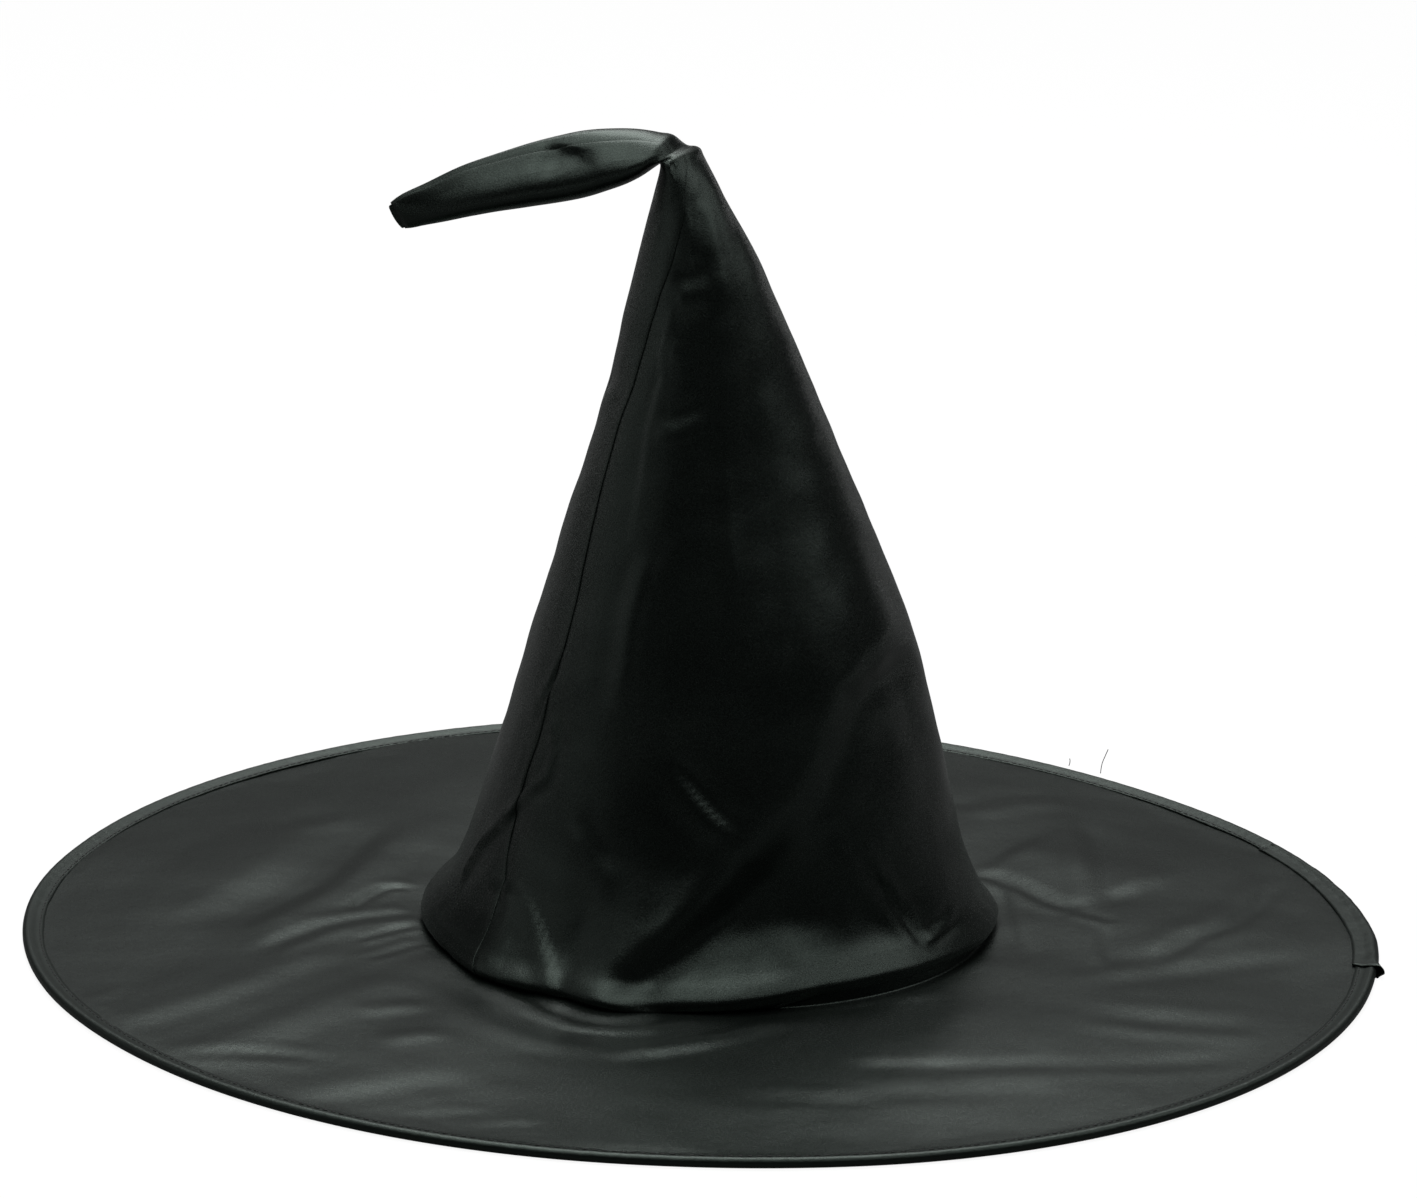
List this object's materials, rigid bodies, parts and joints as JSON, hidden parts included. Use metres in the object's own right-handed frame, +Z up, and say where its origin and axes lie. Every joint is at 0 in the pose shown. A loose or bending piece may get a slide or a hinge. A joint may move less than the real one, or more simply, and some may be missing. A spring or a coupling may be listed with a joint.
{
  "type": "witch hat",
  "caption": "Black cloth costume witch hat: a wide level brim with a wired, bound edge, a tall soft cone crown on a rolled foot, and a long narrow tip folded over to one side.",
  "frame": {"origin": "middle of the brim on the surface the hat stands on", "axes": "+Z up through the crown; the folded tip points along -X; -Y is the front, seen in the picture"},
  "size_m": [0.45, 0.45, 0.271],
  "materials": {
    "satin": "coated satin, soft sheen",
    "interlining": "matte nonwoven",
    "tape": "matte bias tape",
    "wire": "drawn spring steel",
    "ferrule": "plain tube"
  },
  "bodies": {
    "hat": {"brim_under_cloth": "satin", "brim_interlining": "interlining", "brim_top_cloth": "satin", "head_band": "tape", "brim_wire": "wire", "wire_ferrule": "ferrule", "edge_binding": "satin", "crown_panel": "satin", "crown_seam_allowance": "satin"},
    "tip": {"tip_panel": "satin", "tip_end_seam": "satin"}
  },
  "joints": [
    {"name": "tip_fold", "type": "hinge", "parent": "hat", "child": "tip", "pos_m": [-0.0095, 0, 0.2651], "axis": [0, 1, 0], "range_deg": [-12, 100]}
  ]
}
